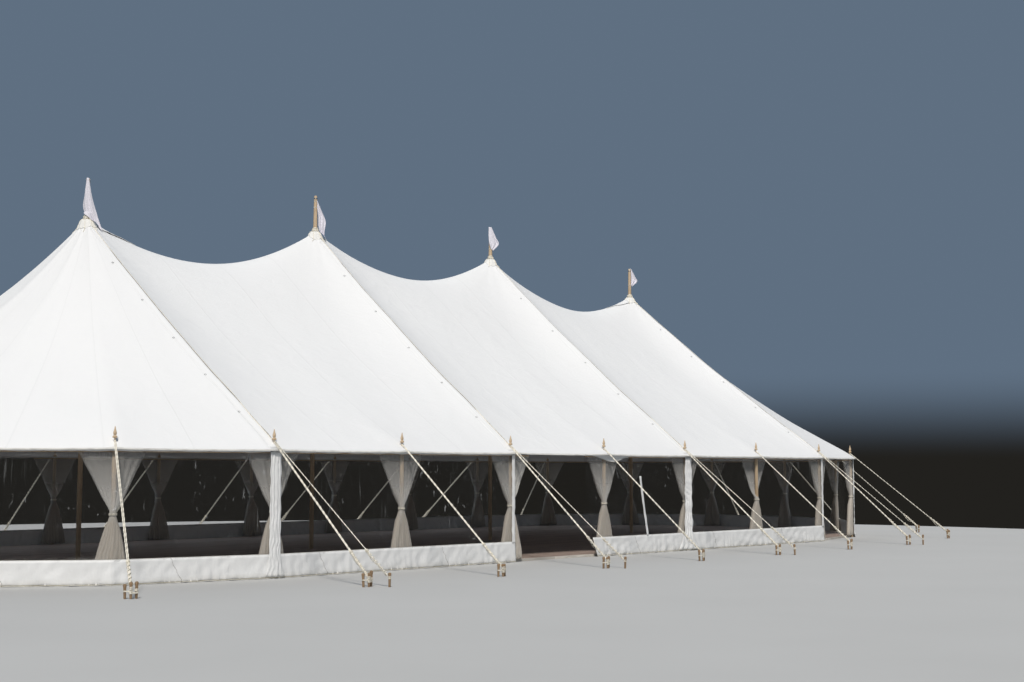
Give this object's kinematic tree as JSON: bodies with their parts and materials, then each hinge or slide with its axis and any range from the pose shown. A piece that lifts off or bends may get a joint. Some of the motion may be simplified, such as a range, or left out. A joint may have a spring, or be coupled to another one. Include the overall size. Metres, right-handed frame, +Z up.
{
  "type": "round-ended pole marquee",
  "caption": "White canvas pole marquee with rounded ends, king poles, guyed side poles, clear window walls, tied drapes and a raised floor.",
  "frame": {"origin": "middle of the plan at ground level", "axes": "+X along the ridge, -Y the front with the wide doorway, +Z up"},
  "size_m": [35.9744, 18.6282, 8.47],
  "materials": {
    "canvas": "white coated canvas, matt with a slight sheen",
    "pale_timber": "varnished pale softwood",
    "rope": "natural three-strand rope, with timber stakes and cream webbing",
    "wall_fabric": "white wall fabric with sewn hems",
    "clear_film": "clear flexible window film",
    "voile": "soft off-white voile",
    "floor_boards": "worn floor boards with a pale edge trim",
    "flag_cloth": "thin white flag cloth"
  },
  "bodies": {
    "root": {"roof_end_left": "canvas", "roof_bay_1": "canvas", "roof_bay_2": "canvas", "roof_bay_3": "canvas", "roof_end_right": "canvas", "king_pole_1": "pale_timber", "king_pole_2": "pale_timber", "king_pole_3": "pale_timber", "king_pole_4": "pale_timber", "storm_rope_1": "rope", "storm_rope_2": "rope", "storm_rope_3": "rope", "storm_rope_4": "rope", "pennant_1": "flag_cloth", "pennant_2": "flag_cloth", "pennant_3": "flag_cloth", "pennant_4": "flag_cloth", "front_pole_1": "pale_timber", "front_pole_2": "pale_timber", "front_pole_3": "pale_timber", "front_pole_4": "pale_timber", "front_pole_5": "pale_timber", "front_pole_6": "pale_timber", "front_pole_7": "pale_timber", "right_end_pole_1": "pale_timber", "right_end_pole_2": "pale_timber", "right_end_pole_3": "pale_timber", "right_end_pole_4": "pale_timber", "right_end_pole_5": "pale_timber", "right_end_pole_6": "pale_timber", "back_pole_7": "pale_timber", "back_pole_6": "pale_timber", "back_pole_5": "pale_timber", "back_pole_4": "pale_timber", "back_pole_3": "pale_timber", "back_pole_2": "pale_timber", "back_pole_1": "pale_timber", "left_end_pole_6": "pale_timber", "left_end_pole_5": "pale_timber", "left_end_pole_4": "pale_timber", "left_end_pole_3": "pale_timber", "left_end_pole_2": "pale_timber", "left_end_pole_1": "pale_timber", "front_guys": "rope", "right_guys": "rope", "back_guys": "rope", "left_guys": "rope", "front_wall_frame": "wall_fabric", "right_wall_frame": "wall_fabric", "back_wall_frame": "wall_fabric", "left_wall_frame": "wall_fabric", "front_clear_wall": "clear_film", "right_clear_wall": "clear_film", "back_clear_wall": "clear_film", "left_clear_wall": "clear_film", "front_drapes": "voile", "right_drapes": "voile", "back_drapes": "voile", "left_drapes": "voile", "floor": "floor_boards"}
  },
  "joints": []
}
